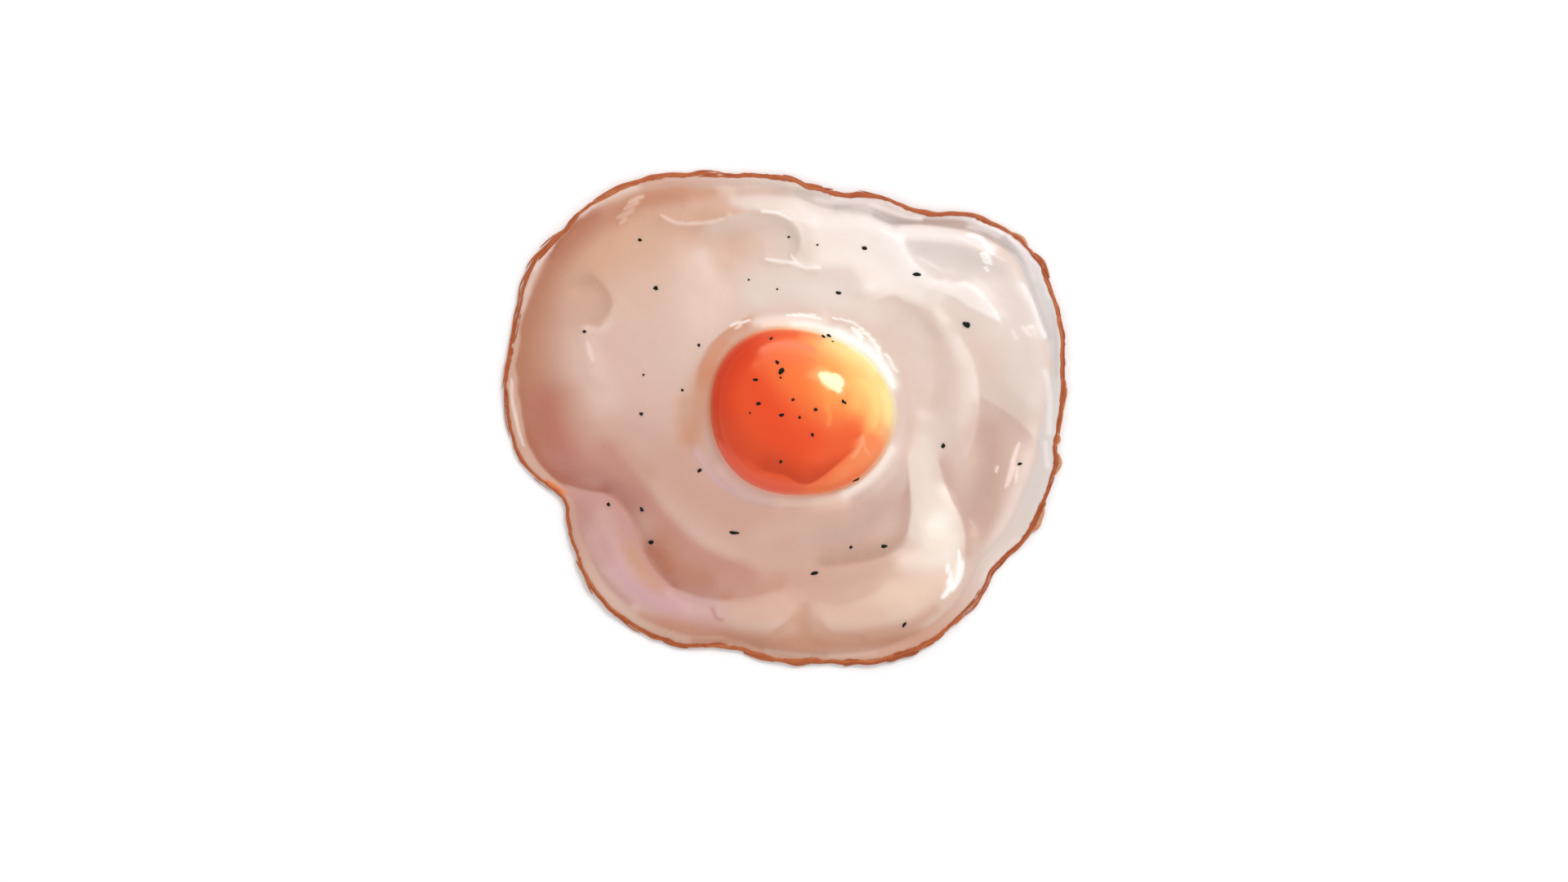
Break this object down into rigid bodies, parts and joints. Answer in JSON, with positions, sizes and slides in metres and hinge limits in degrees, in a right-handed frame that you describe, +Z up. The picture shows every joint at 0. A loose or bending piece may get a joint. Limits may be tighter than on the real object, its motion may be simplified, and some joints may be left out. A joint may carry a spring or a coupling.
{
  "type": "fried egg",
  "caption": "Sunny-side-up fried egg: a thin lobed white with soft folds and a browned frilly edge, a glossy domed yolk in a rolled collar, and ground pepper.",
  "frame": {"origin": "on the surface the egg lies on, under the middle of its bounding box", "axes": "+Z up out of the flat underside; +X along the longest extent, from the notched upper left lobe towards the upper right lobe; +Y away from the person eating"},
  "size_m": [0.1238, 0.1086, 0.0177],
  "materials": {
    "egg_white": "set egg white: moist and softly glossy, ivory turning to tan, with a thin crisp brown edge and specks of pepper",
    "egg_yolk": "soft-set yolk: deep orange, smooth and wet, lighter yellow towards the light, with specks of pepper",
    "crisp_edge": "thin crisp edge of the white, fried reddish brown, dry and a little rough",
    "pepper": "coarse ground black pepper, matt and greenish black"
  },
  "bodies": {
    "root": {"white": "egg_white", "yolk": "egg_yolk"}
  },
  "joints": []
}
